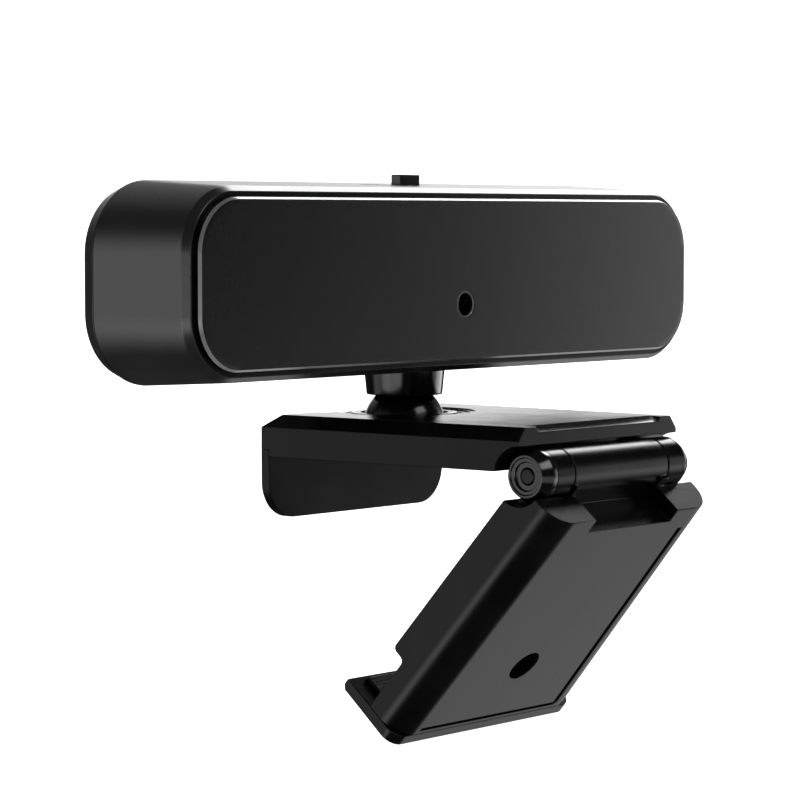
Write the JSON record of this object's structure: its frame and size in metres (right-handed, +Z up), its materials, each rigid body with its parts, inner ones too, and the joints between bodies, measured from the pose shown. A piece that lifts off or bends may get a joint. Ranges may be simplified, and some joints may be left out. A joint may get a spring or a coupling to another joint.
{
  "type": "webcam",
  "caption": "Wide bar webcam with a sliding lens shutter on a ball joint, over a monitor clip with a front lip and a hinged rear leg that holds a tripod socket.",
  "frame": {"origin": "on the clip's seat face, straight below the head's pan axis", "axes": "+X across the head's width, +Z up, -Y the way the lens looks and the way the clip's hinge end lies"},
  "size_m": [0.1148, 0.053, 0.0803],
  "materials": {
    "shell_plastic": "satin black moulded plastic",
    "panel_plastic": "fine matt black with a faint sparkle",
    "gloss_black": "glossy black",
    "tab_plastic": "satin black",
    "ball_metal": "smooth black coating",
    "steel": "bright zinc plated steel",
    "black_steel": "black oxide",
    "board": "green solder mask",
    "chip": "dark sensor glass",
    "nylon": "natural nylon",
    "rubber": "matt black rubber",
    "lens_glass": "coated lens glass"
  },
  "bodies": {
    "clip": {"arm_shell": "shell_plastic", "arm_cover": "shell_plastic", "arm_screws": "steel", "seat_pad": "rubber", "hinge_pin": "steel", "hinge_washers": "steel", "hinge_cap_left": "ball_metal", "hinge_cap_right": "ball_metal", "swivel_washer": "steel"},
    "swivel": {"swivel_hub": "gloss_black", "swivel_collar": "gloss_black", "swivel_ring": "steel"},
    "liner": {"ball_liner": "nylon"},
    "head": {"housing": "shell_plastic", "front_panel": "panel_plastic", "rear_cover": "shell_plastic", "head_screws": "steel", "main_board": "board", "board_screws": "steel", "image_sensor": "chip", "lens_holder": "tab_plastic", "lens_barrel": "gloss_black", "lens_glass": "lens_glass", "shutter_guide": "tab_plastic", "usb_header": "nylon", "cable_gland": "rubber", "neck_cup": "gloss_black", "ball_stud": "ball_metal", "neck_nut": "steel"},
    "shutter": {"privacy_shutter": "tab_plastic"},
    "leg": {"leg_shell": "shell_plastic", "leg_cover": "shell_plastic", "leg_screws": "steel", "tripod_insert": "black_steel", "foot_plate": "shell_plastic", "foot_screws": "black_steel", "foot_pad": "rubber"}
  },
  "joints": [
    {"name": "head_pan", "type": "hinge", "parent": "clip", "child": "swivel", "pos_m": [0, 0, 0.0041], "axis": [0, 0, 1], "continuous": true},
    {"name": "head_tilt", "type": "hinge", "parent": "swivel", "child": "liner", "pos_m": [0, 0, 0.0041], "axis": [1, 0, 0], "range_deg": [-12, 12]},
    {"name": "head_roll", "type": "hinge", "parent": "liner", "child": "head", "pos_m": [0, 0, 0.0041], "axis": [0, 1, 0], "range_deg": [-4, 4]},
    {"name": "shutter_slide", "type": "slide", "parent": "head", "child": "shutter", "axis": [-1, 0, 0], "range_m": [0, 0.008]},
    {"name": "leg_hinge", "type": "hinge", "parent": "clip", "child": "leg", "pos_m": [0, -0.03575, -0.0006], "axis": [1, 0, 0], "range_deg": [-90, 45]}
  ]
}
